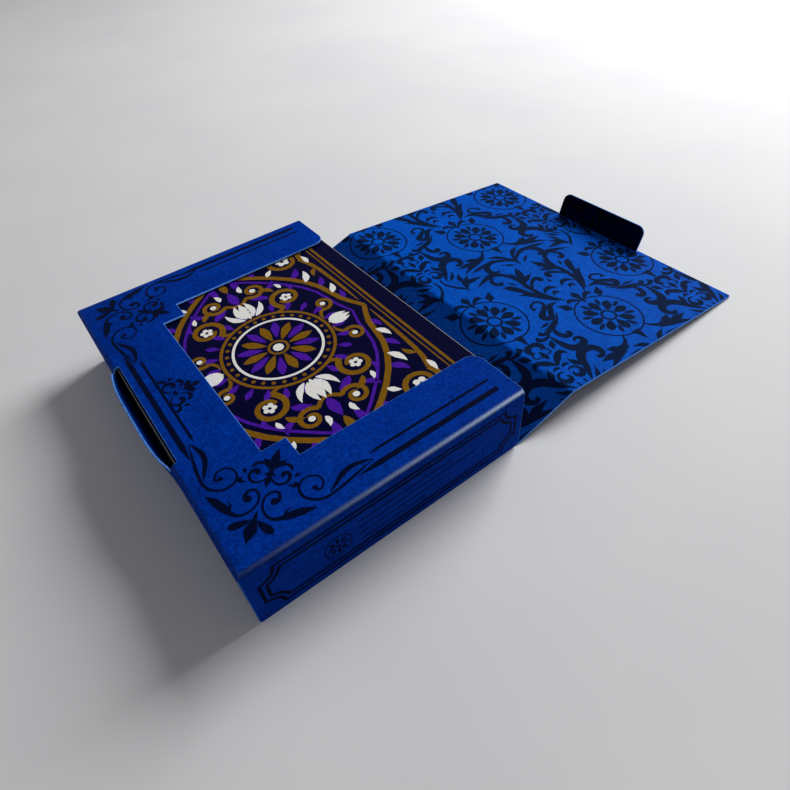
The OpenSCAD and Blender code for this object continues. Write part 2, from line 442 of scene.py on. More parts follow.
def mirrored(art, *sides):
    """Copies of flat artwork, one for each pair of signs along x and y, each a hair above the last."""
    whole = bmesh.new()
    for count, (x_side, y_side) in enumerate(sides):
        lift = Matrix.Translation((0, 0, count * LAYER / 2))
        add_copy(whole, art, lift @ Matrix.Diagonal((x_side, y_side, 1, 1)))
    art.free()
    return whole


def joined(*arts):
    """Pieces of flat artwork made one."""
    for art in arts[1:]:
        add_copy(arts[0], art)
        art.free()
    return arts[0]


def facing(bm, direction):
    """Turns flat artwork's faces to look one way."""
    bm.normal_update()
    away = [f for f in bm.faces if f.normal.dot(direction) < 0]
    bmesh.ops.reverse_faces(bm, faces=away)


INK_GLOSS = 0.015


def printing_ink(name, deep, pale, roughness):
    """Offset ink that sinks a little unevenly into the paper."""
    material, shader, place = new_surface(name, roughness)
    tone = (grain_of(place, 0.6, 4.0) * 1.6 - 0.3).clamped()
    place.feed(shader.inputs["Base Color"], tone.mixed(deep, pale))
    shader.inputs["Specular IOR Level"].default_value = INK_GLOSS
    return material


ornament_ink = printing_ink("ornament ink", srgb(0, 4, 24), srgb(1, 12, 46), 0.6)
bar_art = drawn(RULES[:2], straight=True)
up_and_down = ((1, 1), (1, -1))
flourish = joined(mirrored(drawn(FLOURISH_STROKES, FLOURISH_DOTS, bold=ORNAMENT_BOLD), *up_and_down),
                  drawn(FLOURISH_MIDDLE, bold=ORNAMENT_BOLD))
for end in (-1, 1):
    turn = Matrix.Rotation(math.radians(-45 * end), 4, "Z")
    corner = Matrix.Translation((-CASE_W / 2, end * CASE_L / 2, 0)) @ turn
    add_copy(bar_art, flourish, corner)
fleuron = joined(mirrored(drawn(FLEURON_STROKES, bold=ORNAMENT_BOLD), *up_and_down),
                 drawn(FLEURON_MIDDLE, bold=ORNAMENT_BOLD))
add_copy(bar_art, fleuron, Matrix.Translation((FLEURON_X, 0, 0)))
for motif in (flourish, fleuron):
    motif.free()
front_art = joined(bar_art.copy(), drawn(RULES[2:], straight=True))
bmesh.ops.translate(front_art, vec=(0, PRINT_SHIFT, CASE_H + PRINT_LIFT), verts=front_art.verts)
facing(front_art, Vector((0, 0, 1)))
front_print = new_piece("front_print", front_art, [ornament_ink])
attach(front_print, "case")

PANEL_HALF_L, PANEL_HALF_H, PANEL_Z, PANEL_X = 30.15, 6.25, 8.25, 0.25
SCALLOP_R, PANEL_STEP, PANEL_RULE = 3.3, 1.25, 0.36


def scalloped_panel(inset, half_l=PANEL_HALF_L):
    """One ruled panel with its corners scooped out, as runs of points for drawn()."""
    reach = SCALLOP_R + inset
    swing = math.asin(inset / reach)
    corner = []
    for step in range(9):
        angle = swing + (math.pi / 2 - 2 * swing) * step / 8
        corner.append((half_l - reach * math.sin(angle), PANEL_HALF_H - reach * math.cos(angle)))
    quarter = [(half_l - inset, 0.0), *corner, (0.0, PANEL_HALF_H - inset)]
    return [[(sx * x, sy * y, PANEL_RULE) for x, y in quarter] for sx in (-1, 1) for sy in (-1, 1)]


def ring(radius, half):
    """A round stroke about the middle."""
    turns = [math.radians(15 * step) for step in range(25)]
    return [(radius * math.cos(a), radius * math.sin(a), half) for a in turns]


def petals(count, first, near, far, half):
    """Leaf-shaped strokes that stand round the middle."""
    outline = ((0, 0.15), (0.3, 0.7), (0.6, 1.0), (0.85, 0.6), (1, 0.04))
    steps = [(near + (far - near) * along, half * wide) for along, wide in outline]
    turns = [math.radians(first + 360 * step / count) for step in range(count)]
    return [[(reach * math.cos(a), reach * math.sin(a), wide) for reach, wide in steps] for a in turns]


NOTE_RULES = [(-10.0, 12.5, 10.9), (-10.0, 19.0, 8.9), (-10.0, 10.0, 6.9), (-10.0, 6.0, 4.9)]
NOTE_HALF, ROSETTE_X, ROSETTE_Z = 0.16, -14.6, 7.6
for end, name in ((-1, "near_wall_print"), (1, "far_wall_print")):
    wall_art = drawn(scalloped_panel(0.0) + scalloped_panel(PANEL_STEP), straight=True)
    if end < 0:
        notes = [[(x, z - PANEL_Z, NOTE_HALF) for x in (start, stop)] for start, stop, z in NOTE_RULES]
        rosette = drawn([ring(2.9, 0.14)] + petals(8, 0, 0.7, 2.4, 0.4), [(0, 0, 0.45)])
        bmesh.ops.translate(rosette, vec=(ROSETTE_X, ROSETTE_Z - PANEL_Z, 0), verts=rosette.verts)
        wall_art = joined(wall_art, drawn(notes, straight=True), rosette)
    facing(wall_art, Vector((0, 0, 1)))
    upright = Matrix.Rotation(math.pi / 2, 4, "X") if end < 0 else (
        Matrix.Rotation(math.pi, 4, "Z") @ Matrix.Rotation(math.pi / 2, 4, "X"))
    stand = Matrix.Translation((PANEL_X, end * (CASE_L / 2 + PRINT_LIFT), PANEL_Z)) @ upright
    bmesh.ops.transform(wall_art, matrix=stand, verts=wall_art.verts)
    wall_print = new_piece(name, wall_art, [ornament_ink])
    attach(wall_print, "case")

# Lid: the same sheet goes on past the back panel as the spine, the cover and the tuck tab, with a soft
# pressed crease at each joint. Its inner side is a brighter blue; painted shade makes it deeper on the spine
# and darkest on the tab.
HINGE_X, HINGE_Z = 32.67, 0.21
SPINE_L, COVER_L, TAB_U = 17.6, 65.07, 64.28
SPINE_REST, COVER_REST, TAB_REST = 17.4, -4.6393764, 78.0
TAB_W, TAB_L, TAB_CORNER_R = 31.0, 7.5, 2.4
COVER_CORNER_R = 0.7
CREASE_HALF, TAB_CREASE_HALF = 0.5, 0.35
TAB_SIDE_GAP = 0.06


def lid_point(s, y, height, tab=False):
    """Where a point of the flat lid lies when open: s runs from the first crease, height from mid-board."""
    along, up = s, height
    creases = [(SPINE_L, COVER_REST - SPINE_REST, CREASE_HALF), (0.0, SPINE_REST, CREASE_HALF)]
    if tab:
        creases.insert(0, (SPINE_L + TAB_U, TAB_REST, TAB_CREASE_HALF))
    for crease, turn, half in creases:
        share = min(max((s - crease) / (2 * half) + 0.5, 0.0), 1.0)
        angle = math.radians(turn) * share * share * (3 - 2 * share)
        along, up = (crease + (along - crease) * math.cos(angle) - up * math.sin(angle),
                     (along - crease) * math.sin(angle) + up * math.cos(angle))
    return Vector((HINGE_X + along, y, HINGE_Z + up))


def lid_sheet(start, end, width, creases):
    """A flat rectangle of the lid that goes on from the piece before it, cut finely where it will bend."""
    bm = bmesh.new()
    bmesh.ops.create_grid(bm, x_segments=1, y_segments=1, size=0.5)
    bmesh.ops.scale(bm, vec=(end - start, width, 1), verts=bm.verts)
    bmesh.ops.translate(bm, vec=((start + end) / 2, 0, 0), verts=bm.verts)
    for crease, half in creases:
        cut_across(bm, lambda p, n: True, 0, *[crease + half * step / 4 for step in range(-3, 5)])
    goes_on_at(bm, start)
    return bm


def fold_lid(bm, height, tab=False):
    """Moves flat lid shapes to where the open lid has them."""
    for vert in bm.verts:
        vert.co = lid_point(vert.co.x, vert.co.y, height + vert.co.z, tab)


def crease_ends(crease, half, tab=False):
    """The two mid-board points, in metres, between which a crease turns."""
    return [lid_point(crease + side * half, 0, 0, tab) / 1000 for side in (-1, 1)]


lid_paper = dyed_paper("lid paper", srgb(0, 44, 126), srgb(0, 94, 211))
# The spine's inner side is painted deeper than the cover's: painted shade, as the spine faces away from the
# light.
shaded_spine_paper = dyed_paper("lid spine paper with painted shade", srgb(0, 28, 88), srgb(0, 65, 154))
outer_paper = dyed_paper("lid outer paper", *case_blue)
# The tab's inner side is painted near black: painted shade, as the tab stands turned away from the light.
shaded_tab_paper = dyed_paper("tab paper with painted shade", srgb(0, 4, 24), srgb(0, 12, 50))

spine = lid_sheet(-CREASE_HALF, SPINE_L - CREASE_HALF, CASE_L, [(0.0, CREASE_HALF)])
goes_on_at(spine, SPINE_L - CREASE_HALF)
fold_lid(spine, BOARD / 2)
spine_piece = board_piece("spine_sheet", spine, shaded_spine_paper, outer_paper)
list(crease_ends(0.0, CREASE_HALF))
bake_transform(spine_piece)
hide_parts("spine")

cover = lid_sheet(SPINE_L - CREASE_HALF, SPINE_L + COVER_L, CASE_L, [(SPINE_L, CREASE_HALF)])
recess = SPINE_L + TAB_U - TAB_CREASE_HALF
recess_half = TAB_W / 2 + TAB_SIDE_GAP
cut_across(cover, lambda p, n: p.x > SPINE_L + CREASE_HALF, 0, recess)
cut_across(cover, lambda p, n: p.x > recess, 1, -recess_half, recess_half)
drop_faces(cover, lambda p, n: p.x > recess and abs(p.y) < recess_half)
goes_on_at(cover, recess)
for end in (-1, 1):
    round_corner(cover, SPINE_L + COVER_L, end * CASE_L / 2, 0, COVER_CORNER_R, 5)
fold_lid(cover, BOARD / 2)
cover_piece = board_piece("cover_sheet", cover, lid_paper, outer_paper)
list(crease_ends(SPINE_L, CREASE_HALF))
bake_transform(cover_piece)
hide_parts("cover")

tab_crease = SPINE_L + TAB_U
tab = lid_sheet(recess, tab_crease + TAB_L, TAB_W, [(tab_crease, TAB_CREASE_HALF)])
for end in (-1, 1):
    round_corner(tab, tab_crease + TAB_L, end * TAB_W / 2, 0, TAB_CORNER_R, 8)
fold_lid(tab, BOARD / 2, tab=True)
tab_piece = board_piece("tab_sheet", tab, shaded_tab_paper, outer_paper)
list(crease_ends(tab_crease, TAB_CREASE_HALF, tab=True))
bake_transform(tab_piece)
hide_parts("tuck_tab")

# Damask on the lid's inner side: dark ink on the blue sheet, in columns of round medallions that hang
# half a repeat apart. Sprays, scrolls and plumes join them, and the pattern runs off the edges.
DAMASK_REPEAT = [
    [(0.7, 8.8, 0.15), (2.0, 9.9, 0.35), (3.6, 10.5, 0.5), (4.9, 9.7, 0.05)],
    [(5.6, 7.3, 0.1), (6.5, 8.7, 0.85), (8.2, 10.9, 0.03)],
]
DAMASK_MIDDLE = [
    [(0, 13.3, 0.05), (0, 11.4, 1.15), (0, 9.9, 0.45), (0, 8.0, 0.4), (0, 7.4, 0.1)],
    [(0, -8.2, 1.25), (0, -10.0, 0.7), (0, -12.5, 0.03)],
]
PLUME_STROKES = [
    [(4.1, 11.5, 0.15), (6.1, 15.1, 0.3), (7.25, 18.6, 0.45), (7.45, 22.5, 0.5), (7.25, 26.4, 0.4),
     (8.8, 30.7, 0.45), (11.6, 32.5, 0.6), (14.7, 31.9, 0.45), (19.0, 30.3, 0.05)],
    [(11.8, 32.2, 0.2), (13.5, 30.7, 0.35), (13.9, 28.8, 0.5), (12.7, 27.6, 0.45), (11.7, 28.4, 0.2)],
    [(5.3, 12.3, 0.1), (7.65, 15.5, 0.45), (9.6, 18.95, 0.75), (12.5, 20.5, 0.03)],
    [(9.0, 18.6, 0.2), (10.4, 21.7, 0.6), (12.0, 24.5, 0.75), (13.7, 26.0, 0.03)],
    [(9.3, 24.4, 0.03), (10.0, 25.7, 0.28), (10.7, 27.2, 0.03)],
    [(6.9, 24.0, 0.2), (4.5, 25.6, 0.6), (1.6, 26.5, 0.03)],
    [(6.5, 24.9, 0.3), (4.5, 28.4, 0.8), (3.1, 31.5, 0.05)],
    [(6.9, 25.6, 0.2), (6.7, 28.4, 0.35), (6.9, 30.7, 0.03)],
    [(6.9, 20.9, 0.2), (4.5, 23.3, 0.35), (2.2, 23.9, 0.5), (1.6, 22.5, 0.6)],
    [(1.0, 17.0, 0.1), (2.5, 18.4, 0.45), (4.5, 18.2, 0.4), (5.9, 17.0, 0.1)],
    [(2.0, 15.0, 0.1), (3.3, 16.0, 0.4), (4.5, 15.0, 0.15)],
    [(13.9, 13.1, 0.45), (14.3, 14.2, 0.25), (12.9, 15.5, 0.25), (11.0, 15.5, 0.25), (10.2, 14.1, 0.3),
     (13.1, 11.2, 0.5), (14.9, 9.6, 0.65), (13.5, 8.3, 0.55), (11.2, 10.3, 0.5), (9.6, 12.1, 0.5),
     (6.3, 12.3, 0.05)],
    [(11.6, 8.4, 0.05), (15.5, 6.0, 0.3), (19.4, 5.2, 0.05)],
    [(4.3, -7.6, 0.1), (5.9, -9.7, 0.3), (9.0, -10.8, 0.6), (10.8, -10.0, 0.75), (12.3, -8.9, 0.05)],
    [(6.3, -11.3, 0.1), (10.0, -11.8, 0.4), (13.5, -11.4, 0.7), (17.0, -11.3, 0.03)],
    [(0, -17.15, 0.15), (3.3, -13.2, 0.5), (6.1, -12.0, 0.05)],
    [(0, -17.9, 0.2), (3.7, -15.2, 0.4), (7.6, -14.4, 0.5), (10.4, -16.8, 0.65), (10.0, -19.1, 0.6),
     (8.0, -19.3, 0.2)],
    [(1.6, -19.9, 0.05), (3.4, -18.4, 0.35), (5.3, -17.4, 0.03)],
]
PLUME_MIDDLE = [
    [(0, 22.0, 0.05), (0, 20.9, 0.45), (0, 19.8, 0.05)],
    [(0, -16.2, 0.05), (0, -18.2, 0.5), (0, -20.7, 0.05)],
]
PLUME_DOTS = [(1.8, 22.7, 0.95)]
VASE_STROKES = [
    [(1.9, -15.4, 0.3), (2.1, -14.0, 0.6), (1.2, -13.0, 0.5), (0, -12.8, 0.4)],
    [(1.0, -15.0, 0.12), (2.6, -16.0, 0.15), (2.4, -17.2, 0.15), (1.2, -17.4, 0.12)],
    [(0, -21.7, 0.2), (1.8, -19.8, 0.6), (4.5, -18.6, 0.45), (5.5, -20.0, 0.05)],
    [(0.4, -22.7, 0.2), (1.6, -22.3, 0.3), (2.8, -22.9, 0.05)],
    [(0.6, -24.2, 0.1), (2.2, -24.0, 0.2), (3.4, -25.2, 0.3), (3.1, -26.6, 0.45), (1.8, -27.2, 0.5),
     (0.8, -26.2, 0.3), (1.3, -25.4, 0.1)],
    [(4.9, -24.8, 0.3), (4.1, -23.2, 0.55), (3.5, -21.3, 0.03)],
    [(2.5, -30.1, 0.1), (4.9, -26.4, 0.5), (7.3, -22.5, 0.75), (10.4, -21.5, 0.7), (12.7, -23.3, 0.65),
     (11.6, -25.6, 0.4), (10.2, -25.2, 0.35)],
    [(6.7, -12.6, 0.1), (6.9, -16.1, 0.5), (8.0, -19.3, 0.75), (10.8, -20.0, 0.7), (12.7, -18.5, 0.5),
     (11.8, -17.1, 0.35), (10.4, -17.7, 0.2)],
    [(16.3, -6.7, 0.05), (12.7, -9.8, 0.3), (8.8, -11.2, 0.35), (6.1, -11.4, 0.4), (5.3, -10.4, 0.5)],
    [(7.3, -12.4, 0.2), (4.5, -13.0, 0.35), (2.9, -11.8, 0.6)],
    [(10.4, -10.6, 0.1), (9.4, -13.3, 0.5), (10.8, -15.3, 0.55), (12.2, -14.7, 0.4), (11.6, -13.9, 0.2)],
    [(3.7, -17.0, 0.03), (4.8, -15.5, 0.6), (5.9, -14.0, 0.03)],
    [(7.3, -9.2, 0.03), (9.5, -8.9, 0.3), (11.6, -8.6, 0.03)],
    [(1.2, -28.5, 0.15), (1.0, -31.0, 0.2), (2.0, -33.5, 0.25), (3.8, -35.5, 0.3), (5.2, -37.5, 0.1)],
    [(4.6, -36.6, 0.1), (6.4, -33.8, 0.75), (9.4, -31.2, 0.03)],
    [(5.8, -35.0, 0.12), (8.8, -34.0, 0.55), (12.4, -34.2, 0.03)],
    [(6.2, -34.0, 0.12), (6.3, -31.4, 0.5), (7.6, -29.0, 0.03)],
    [(9.6, -30.4, 0.1), (13.6, -28.6, 0.5), (17.6, -27.6, 0.35), (20.6, -25.6, 0.03)],
    [(11.4, -31.2, 0.1), (14.8, -30.6, 0.45), (18.2, -29.6, 0.03)],
    [(3.2, -30.6, 0.05), (5.2, -29.4, 0.4), (7.0, -27.0, 0.03)],
]
VASE_MIDDLE = [[(0, -15.4, 0.1), (0, -17.5, 0.8), (0, -19.0, 0.2)]]
MEDALLION_R, MEDALLION_BOLD, SPRAY_BOLD = 8.9, 1.15, 1.65
PLUME_COLUMNS, PLUME_ROWS = (-4.8, 48.1, 101.0), (-31.75, 20.4)
VASE_COLUMNS, VASE_ROWS = (21.65, 74.4), (-15.9, 36.3)
PRINT_EDGE = 0.25
COPY_LIFT = 0.004

damask_ink = printing_ink("damask ink", srgb(0, 14, 42), srgb(0, 28, 64), 0.7)
medallion = [ring(MEDALLION_R, 0.2), ring(1.9, 0.3)]
medallion += petals(8, 0, 2.4, 6.9, 1.25) + petals(8, 22.5, 4.4, 7.7, 0.55)
left_and_right = ((1, 1), (-1, 1))
plume = joined(
    mirrored(drawn(DAMASK_REPEAT + PLUME_STROKES, PLUME_DOTS, 4, bold=SPRAY_BOLD), *left_and_right),
    drawn(DAMASK_MIDDLE + PLUME_MIDDLE + medallion, fineness=4, bold=MEDALLION_BOLD))
vase = joined(
    mirrored(drawn(DAMASK_REPEAT + VASE_STROKES, fineness=4, bold=SPRAY_BOLD), *left_and_right),
    drawn(DAMASK_MIDDLE + VASE_MIDDLE + medallion, fineness=4, bold=MEDALLION_BOLD))
damask = bmesh.new()
for motif, columns, rows in ((plume, PLUME_COLUMNS, PLUME_ROWS), (vase, VASE_COLUMNS, VASE_ROWS)):
    for count, (column, row) in enumerate((c, r) for c in columns for r in rows):
        add_copy(damask, motif, Matrix.Translation((column, row, COPY_LIFT * (count + (motif is vase)))))
    motif.free()
facing(damask, Vector((0, 0, 1)))


def kept_between(bm, axis, low, high):
    """Cuts flat artwork off beyond two places along an axis."""
    cut_across(bm, lambda p, n: True, axis, low, high)
    drop_faces(bm, lambda p, n: not low < p[axis] < high)


kept_between(damask, 1, PRINT_EDGE - CASE_L / 2, CASE_L / 2 - PRINT_EDGE)
spine_art, cover_art, tab_art = damask, damask.copy(), damask.copy()
kept_between(spine_art, 0, CREASE_HALF, SPINE_L - CREASE_HALF)
fold_lid(spine_art, BOARD / 2 + PRINT_LIFT)
# The spine's damask takes the darker ink of the front: painted shade, like the spine's deeper paper.
spine_print = new_piece("spine_print", spine_art, [ornament_ink])
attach(spine_print, "spine")

kept_between(cover_art, 0, SPINE_L - CREASE_HALF, SPINE_L + COVER_L - PRINT_EDGE)
cut_across(cover_art, lambda p, n: True, 0, *[SPINE_L + CREASE_HALF * step / 4 for step in range(-3, 5)])
recess_edge, recess_side = recess - PRINT_EDGE, recess_half + PRINT_EDGE
cut_across(cover_art, lambda p, n: True, 0, recess_edge)
cut_across(cover_art, lambda p, n: p.x > recess_edge, 1, -recess_side, recess_side)
drop_faces(cover_art, lambda p, n: p.x > recess_edge and abs(p.y) < recess_side)
fold_lid(cover_art, BOARD / 2 + PRINT_LIFT)
cover_print = new_piece("cover_print", cover_art, [damask_ink])
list(crease_ends(SPINE_L, CREASE_HALF))
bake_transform(cover_print)

# The tab's damask is printed near black as well: painted shade.
shaded_tab_ink = printing_ink("tab ink with painted shade", srgb(0, 0, 6), srgb(0, 2, 14), 0.7)
kept_between(tab_art, 0, tab_crease + TAB_CREASE_HALF, tab_crease + TAB_L - PRINT_EDGE)
kept_between(tab_art, 1, PRINT_EDGE - TAB_W / 2, TAB_W / 2 - PRINT_EDGE)
fold_lid(tab_art, BOARD / 2 + PRINT_LIFT, tab=True)
tab_print = new_piece("tab_print", tab_art, [shaded_tab_ink])
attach(tab_print, "tab")

# Ornament on the lid's outer side, in the ink of the front panel: the front's corner flourishes and rules
# come on both long sides of the cover, round a rosette, and a double ruled panel runs along the spine.
SPINE_PANEL_HALF_L, ROSETTE_BOLD = 41.0, 1.3
outer_side = Matrix.Translation((SPINE_L + COVER_L / 2, 0, 0)) @ Matrix.Diagonal((1, 1, -1, 1))
outer_art = bmesh.new()
cover_face = joined(mirrored(bar_art, *left_and_right), drawn(medallion, bold=ROSETTE_BOLD))
add_copy(outer_art, cover_face, outer_side)
cover_face.free()
facing(outer_art, Vector((0, 0, -1)))
fold_lid(outer_art, -BOARD / 2 - PRINT_LIFT)
outer_print = new_piece("cover_outer_print", outer_art, [ornament_ink])
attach(outer_print, "cover")

panel_lines = [line for inset in (0.0, PANEL_STEP) for line in scalloped_panel(inset, SPINE_PANEL_HALF_L)]
spine_panel = drawn(panel_lines, straight=True)
lengthwise = Matrix.Translation((SPINE_L / 2, 0, 0)) @ Matrix.Rotation(math.pi / 2, 4, "Z")
under = lengthwise @ Matrix.Diagonal((1, 1, -1, 1))
bmesh.ops.transform(spine_panel, matrix=under, verts=spine_panel.verts)
facing(spine_panel, Vector((0, 0, -1)))
fold_lid(spine_panel, -BOARD / 2 - PRINT_LIFT)
spine_outer_print = new_piece("spine_outer_print", spine_panel, [ornament_ink])
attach(spine_outer_print, "spine")

# Cards: 54 sheets of coated white card stock with rounded corners, stacked face down in the tray.
# Each is loose. Its back is flooded with midnight blue almost to the cut edge; edge and face are white.
CARD_X, CARD_Z, CARD_T, CARD_PITCH, CARD_GAP = 0.51, 0.43, 0.29, 0.3, 0.01
CARD_W, CARD_L, CARD_RIM, RIM_WHITE, CARD_GLOSS = 63.5, 88.9, 0.13, 0.6, 0.01
ranks = "ace two three four five six seven eight nine ten jack queen king".split()
suits = "hearts clubs diamonds spades".split()
cards = [f"{rank}_of_{suit}" for suit in suits for rank in ranks] + ["joker_red", "joker_black"]
card_stock, shader, place = new_surface("card stock", 0.5)
split = place.make("ShaderNodeSeparateXYZ", inputs={0: place}).socket.node
across, along = Dye(split.outputs["X"]), Dye(split.outputs["Y"])
from_edge = across.maths("MAXIMUM", abs(across - CARD_X / 1000) - (CARD_W / 2 - CARD_RIM) / 1000,
                         abs(along) - (CARD_L / 2 - CARD_RIM) / 1000)
inside_rim = 1 - across.maths("GREATER_THAN", from_edge) * RIM_WHITE
level = Dye(split.outputs["Z"]) * (1000 / CARD_PITCH) - (CARD_Z - CARD_GAP / 2) / CARD_PITCH
up_the_card = level.maths("FRACT", level)
sheet_tone = level.make("ShaderNodeTexWhiteNoise", {"noise_dimensions": "1D"}, {"W": level - up_the_card})
fine = grain_of(place, 0.8)
white = (fine * 0.7 + sheet_tone * 0.5 - 0.1).clamped().mixed(srgb(190, 187, 179), srgb(217, 215, 209))
flood = (fine * 1.6 - 0.3).clamped().mixed(srgb(2, 3, 34), srgb(6, 7, 48))
on_back = (up_the_card * 40 - 36.5).clamped() * inside_rim  # a card's upper face is 0.98 of the way up
place.feed(shader.inputs["Base Color"], on_back.mixed(white, flood))
shader.inputs["Specular IOR Level"].default_value = CARD_GLOSS
for card in cards:
    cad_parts[card].material_slots[0].material = card_stock

# Card backs: the same ornament in violet, gold and white inks on every card. A petalled rosette in beaded
# rings stands in a pointed oval, with buds, scrolls and leaf sprays round it and a double gold rule outside.
FRAME_LINES = ((26.8, 39.5, 0.7), (25.5, 38.2, 0.36))
OVAL = [(0, 36.4, 0.7), (2.4, 33.4, 0.7), (8.6, 28.4, 0.7), (15.0, 22.0, 0.7), (19.4, 14.0, 0.7),
        (21.0, 6.0, 0.7), (23.8, 0, 0.6)]
INNER_OVAL = [(0, 32.6, 0.36), (3.4, 30.2, 0.36), (8.6, 25.6, 0.36), (13.8, 19.8, 0.36), (17.6, 12.6, 0.36),
              (18.9, 5.0, 0.36), (20.4, 0, 0.3)]
SCROLL_STEMS = [
    [(0, 20.3, 0.3), (1.2, 20.6, 0.5), (2.2, 21.4, 0.5), (2.9, 22.1, 0.5)],
    [(5.0, 12.3, 0.1), (6.6, 11.6, 0.4), (8.4, 12.4, 0.6)],
    [(13.6, 1.8, 0.1), (13.7, 3.6, 0.4), (14.8, 5.1, 0.45)],
    [(23.9, 2.4, 0.1), (23.9, 9.0, 0.4), (23.7, 17.0, 0.5), (23.1, 23.6, 0.6), (22.0, 27.2, 0.62)],
    [(2.6, 36.6, 0.1), (7.4, 36.7, 0.4), (12.0, 36.5, 0.5), (16.0, 35.3, 0.55)],
]
SCROLLS = [
    (5.4, 23.8, 3.2, 0.9, 215, 450, 0.62), (10.7, 15.7, 4.1, 1.9, 235, -400, 0.75),
    (16.3, 7.2, 2.6, 0.8, -125, 420, 0.55), (17.7, 30.2, 5.2, 2.3, -35, 500, 0.8),
]
GOLD_LEAVES = [
    (12.4, 31.6, 190, 4.4, 0.8, -35), (9.4, 20.0, 105, 4.2, 0.8, 35), (22.8, 21.8, 215, 3.6, 0.7, 25),
]
VIOLET_LEAVES = [
    (8.2, 28.9, 75, 5.0, 1.0, 20), (15.6, 21.4, 20, 4.8, 1.0, 30), (19.6, 13.6, 40, 4.4, 0.9, 20),
    (21.2, 5.4, 50, 4.2, 0.8, 20), (10.4, 36.2, -130, 4.6, 0.9, 20), (15.0, 35.6, -160, 3.8, 0.8, 30),
    (7.2, 18.2, 130, 4.6, 1.05, 20), (2.4, 27.2, 60, 4.4, 0.95, 35), (8.4, 22.2, -10, 3.8, 0.8, 50),
    (24.0, 36.6, 225, 4.0, 0.8, 0), (13.2, 17.8, 40, 2.6, 0.6, 60),
]
WHITE_LEAVES = [
    (0.8, 14.2, 62, 6.4, 1.0, 24), (1.4, 13.9, 26, 5.8, 0.85, 30), (14.0, 0.6, 26, 5.0, 0.85, -22),
    (24.2, 36.9, 196, 6.4, 0.9, -12), (24.2, 36.9, 254, 6.4, 0.9, 12), (4.2, 32.4, 70, 4.2, 0.85, -30),
    (11.2, 26.6, 55, 3.2, 0.75, -10), (17.8, 17.8, 48, 5.2, 0.95, 20), (20.6, 9.4, 45, 4.2, 0.85, 20),
    (11.6, 20.0, 85, 2.6, 0.6, 20), (3.0, 24.9, 110, 3.0, 0.7, -30), (22.9, 25.2, 75, 4.0, 0.7, 15),
]
BLOSSOMS = [(10.7, 15.7, 0.95, 0.62), (17.7, 30.2, 1.2, 0.78)]
INK_LIFTS = (0.0012, 0.0030, 0.0048)
BEAD_RING_R, BEAD_R, BEADS = 11.65, 0.5, 32


def leaf(x, y, angle, length, half, bend):
    """A leaf-shaped stroke that grows from a point at an angle and bends as it goes."""
    stroke = []
    for along, wide in ((0, 0.12), (0.2, 0.7), (0.45, 1.0), (0.75, 0.6), (1, 0.04)):
        turn = math.radians(angle + bend * along)
        reach = length * along
        stroke.append((x + reach * math.cos(turn), y + reach * math.sin(turn), half * wide))
    return stroke


def scroll(x, y, wide, narrow, start, sweep, half):
    """A spiral stroke from its outer end in to its eye."""
    steps = round(abs(sweep) / 40)
    stroke = []
    for step in range(steps + 1):
        turn = math.radians(start + sweep * step / steps)
        reach = wide + (narrow - wide) * (step / steps) ** 0.8
        thin = half * (1 - 0.35 * step / steps)
        stroke.append((x + reach * math.cos(turn), y + reach * math.sin(turn), thin))
    return stroke


def blossom(x, y, reach, radius):
    """Five round petals as dots."""
    turns = [math.radians(72 * step + 18) for step in range(5)]
    return [(x + reach * math.cos(a), y + reach * math.sin(a), radius) for a in turns]


def back_art(strokes, dots=()):
    """Artwork for a card back, drawn coarsely because every card carries it."""
    return drawn(strokes, dots, fineness=2, levels=3, dot_sides=10)


def ruled_frame(half_w, half_l, line):
    """A rectangle drawn as one line."""
    art = bmesh.new()
    bmesh.ops.create_grid(art, x_segments=1, y_segments=1, size=1)
    bmesh.ops.scale(art, vec=(half_w + line / 2, half_l + line / 2, 1), verts=art.verts)
    bmesh.ops.inset_region(art, faces=art.faces, thickness=line, use_even_offset=True, use_boundary=True)
    drop_faces(art, lambda p, n: p.length < 1)
    return art


four = ((1, 1), (-1, 1), (1, -1), (-1, -1))
bead_turns = [math.radians(360 / BEADS * step) for step in range(BEADS)]
beads = [(BEAD_RING_R * math.cos(a), BEAD_RING_R * math.sin(a), BEAD_R) for a in bead_turns]
violet_art = joined(
    mirrored(back_art([INNER_OVAL] + [leaf(*row) for row in VIOLET_LEAVES]), *four),
    mirrored(back_art([leaf(0, 20.8, 90, 6.2, 1.35, 0)]), *up_and_down),
    back_art(petals(8, 22.5, 3.6, 9.5, 1.05) + petals(24, 7.5, 13.6, 17.0, 0.8)))
gold_sprays = [scroll(*row) for row in SCROLLS] + [leaf(*row) for row in GOLD_LEAVES]
gold_art = joined(
    mirrored(back_art([OVAL] + SCROLL_STEMS + gold_sprays), *four),
    mirrored(back_art([leaf(0, 27.2, 90, 5.4, 1.05, 0)]), *up_and_down),
    back_art([ring(2.2, 0.32), ring(13.0, 0.38)] + petals(8, 0, 2.9, 8.9, 1.15), beads),
    *[ruled_frame(*row) for row in FRAME_LINES])
eyes = [(5.4, 23.8, 0.8), (16.3, 7.2, 0.7)] + [dot for row in BLOSSOMS for dot in blossom(*row)]
white_art = joined(
    mirrored(back_art([leaf(*row) for row in WHITE_LEAVES], eyes), *four),
    mirrored(back_art([leaf(0, 13.7, 90, 7.0, 1.25, 0)]), *up_and_down),
    mirrored(back_art([leaf(13.7, 0, 0, 5.8, 1.1, 0)]), *left_and_right),
    back_art([ring(10.3, 0.32)], [(0, 0, 1.3)]))
card_inks = [
    printing_ink("violet card ink", srgb(58, 18, 138), srgb(84, 30, 172), 0.5),
    printing_ink("gold card ink", srgb(108, 74, 10), srgb(138, 98, 22), 0.45),
    printing_ink("white card ink", srgb(226, 224, 220), srgb(242, 241, 238), 0.5),
]
back = bmesh.new()
